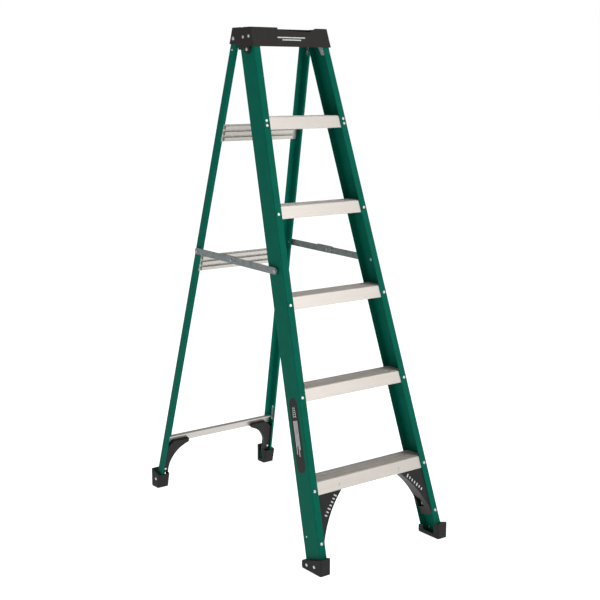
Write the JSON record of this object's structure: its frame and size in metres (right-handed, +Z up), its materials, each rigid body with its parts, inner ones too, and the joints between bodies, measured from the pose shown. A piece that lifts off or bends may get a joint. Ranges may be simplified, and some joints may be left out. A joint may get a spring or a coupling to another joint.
{
  "type": "folding stepladder",
  "caption": "Four-legged folding stepladder with resin side rails, flat ribbed steps, a moulded top cap with a tool tray and folding side spreaders.",
  "frame": {"origin": "on the floor, below the middle of the open ladder's footprint", "axes": "+Z up, +X across the ladder, the steps face -Y"},
  "size_m": [0.5636, 1.083, 1.7445],
  "materials": {
    "fibreglass": "pultruded glass-fibre resin with a satin gel coat",
    "step_aluminium": "mill-finish extrusion",
    "cap_plastic": "textured moulding",
    "brace_plastic": "textured moulding",
    "boot_rubber": "matt moulded rubber",
    "spreader_steel": "zinc-plated strip",
    "bracket_steel": "zinc-plated plate",
    "fastener_steel": "bright zinc-plated",
    "label_black": "printed vinyl film",
    "label_white": "printed vinyl film"
  },
  "bodies": {
    "front_frame": {"cap_plate_left": "bracket_steel", "cap_plate_right": "bracket_steel", "cap_rivets": "fastener_steel", "front_boot_left": "boot_rubber", "front_boot_right": "boot_rubber", "front_boot_rivets": "fastener_steel", "front_brace_bolt_left": "fastener_steel", "front_brace_bolt_right": "fastener_steel", "front_brace_rivets": "fastener_steel", "front_knee_brace_left": "brace_plastic", "front_knee_brace_right": "brace_plastic", "front_rail_left": "fibreglass", "front_rail_right": "fibreglass", "pivot_bolt_left": "fastener_steel", "pivot_bolt_right": "fastener_steel", "pivot_nut_left": "fastener_steel", "pivot_nut_right": "fastener_steel", "side_label_left": "label_black", "side_label_right": "label_black", "spreader_front_pin_left": "fastener_steel", "spreader_front_pin_right": "fastener_steel", "spreader_spacer_left": "fastener_steel", "spreader_spacer_right": "fastener_steel", "step_1": "step_aluminium", "step_2": "step_aluminium", "step_3": "step_aluminium", "step_4": "step_aluminium", "step_5": "step_aluminium", "step_rivets": "fastener_steel", "top_cap": "cap_plastic"},
    "rear_frame": {"hinge_plate_left": "bracket_steel", "hinge_plate_right": "bracket_steel", "hinge_plate_rivets": "fastener_steel", "horizontal_rivets": "fastener_steel", "rear_boot_left": "boot_rubber", "rear_boot_right": "boot_rubber", "rear_boot_rivets": "fastener_steel", "rear_brace_rivets": "fastener_steel", "rear_horizontal_lower": "step_aluminium", "rear_horizontal_middle": "step_aluminium", "rear_horizontal_upper": "step_aluminium", "rear_knee_brace_left": "brace_plastic", "rear_knee_brace_right": "brace_plastic", "rear_rail_label": "label_white", "rear_rail_left": "fibreglass", "rear_rail_right": "fibreglass", "spreader_rear_tail_left": "fastener_steel", "spreader_rear_tail_right": "fastener_steel"},
    "spreader_front_left": {"spreader_front_link_left": "spreader_steel", "spreader_centre_pin_left": "fastener_steel"},
    "spreader_rear_left": {"spreader_rear_link_left": "spreader_steel", "spreader_rear_rivet_left": "fastener_steel"},
    "spreader_front_right": {"spreader_front_link_right": "spreader_steel", "spreader_centre_pin_right": "fastener_steel"},
    "spreader_rear_right": {"spreader_rear_link_right": "spreader_steel", "spreader_rear_rivet_right": "fastener_steel"}
  },
  "joints": [
    {"name": "rear_fold", "type": "hinge", "parent": "front_frame", "child": "rear_frame", "pos_m": [0, 0.09514, 1.7085], "axis": [-1, 0, 0], "range_deg": [0, 30.95]},
    {"name": "spreader_front_fold_left", "type": "hinge", "parent": "front_frame", "child": "spreader_front_left", "pos_m": [-0.215, -0.2069, 0.9459], "axis": [1, 0, 0], "range_deg": [0, 73.48]},
    {"name": "spreader_knee_left", "type": "hinge", "parent": "spreader_front_left", "child": "spreader_rear_left", "pos_m": [-0.214, 0.05245, 0.95108], "axis": [-1, 0, 0], "range_deg": [0, 163.19]},
    {"name": "spreader_front_fold_right", "type": "hinge", "parent": "front_frame", "child": "spreader_front_right", "pos_m": [0.215, -0.2069, 0.9459], "axis": [1, 0, 0], "range_deg": [0, 73.48]},
    {"name": "spreader_knee_right", "type": "hinge", "parent": "spreader_front_right", "child": "spreader_rear_right", "pos_m": [0.214, 0.05245, 0.95108], "axis": [-1, 0, 0], "range_deg": [0, 163.19]}
  ],
  "couplings": [
    {"joint": "spreader_front_fold_left", "follows": "rear_fold", "ratio": 2.3735},
    {"joint": "spreader_knee_left", "follows": "rear_fold", "ratio": 5.272},
    {"joint": "spreader_front_fold_right", "follows": "rear_fold", "ratio": 2.3735},
    {"joint": "spreader_knee_right", "follows": "rear_fold", "ratio": 5.272}
  ]
}
